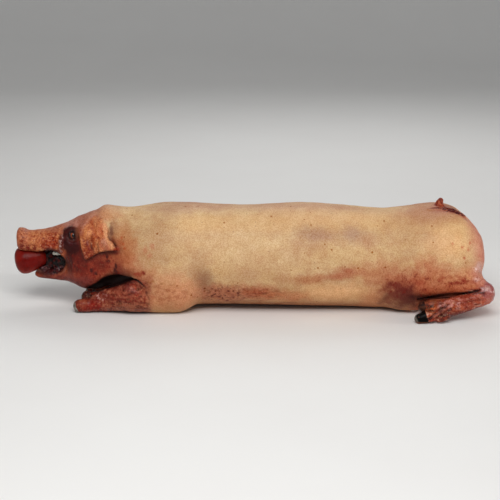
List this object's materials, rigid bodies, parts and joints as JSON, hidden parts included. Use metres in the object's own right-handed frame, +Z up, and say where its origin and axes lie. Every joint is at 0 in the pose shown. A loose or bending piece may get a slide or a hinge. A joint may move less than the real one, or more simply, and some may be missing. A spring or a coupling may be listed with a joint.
{
  "type": "roast suckling pig",
  "caption": "Whole roast suckling pig lying on its belly with its legs folded forwards and a red apple held in its jaws.",
  "frame": {"origin": "on the table, under the middle of the box round the whole", "axes": "+Z up; the snout points along -X and the pig's left side faces -Y"},
  "size_m": [0.9864, 0.2997, 0.2266],
  "materials": {
    "skin": "satin, wet on the head and legs",
    "apple_skin": "gloss"
  },
  "bodies": {
    "root": {"pig": "skin", "apple": "apple_skin"}
  },
  "joints": []
}
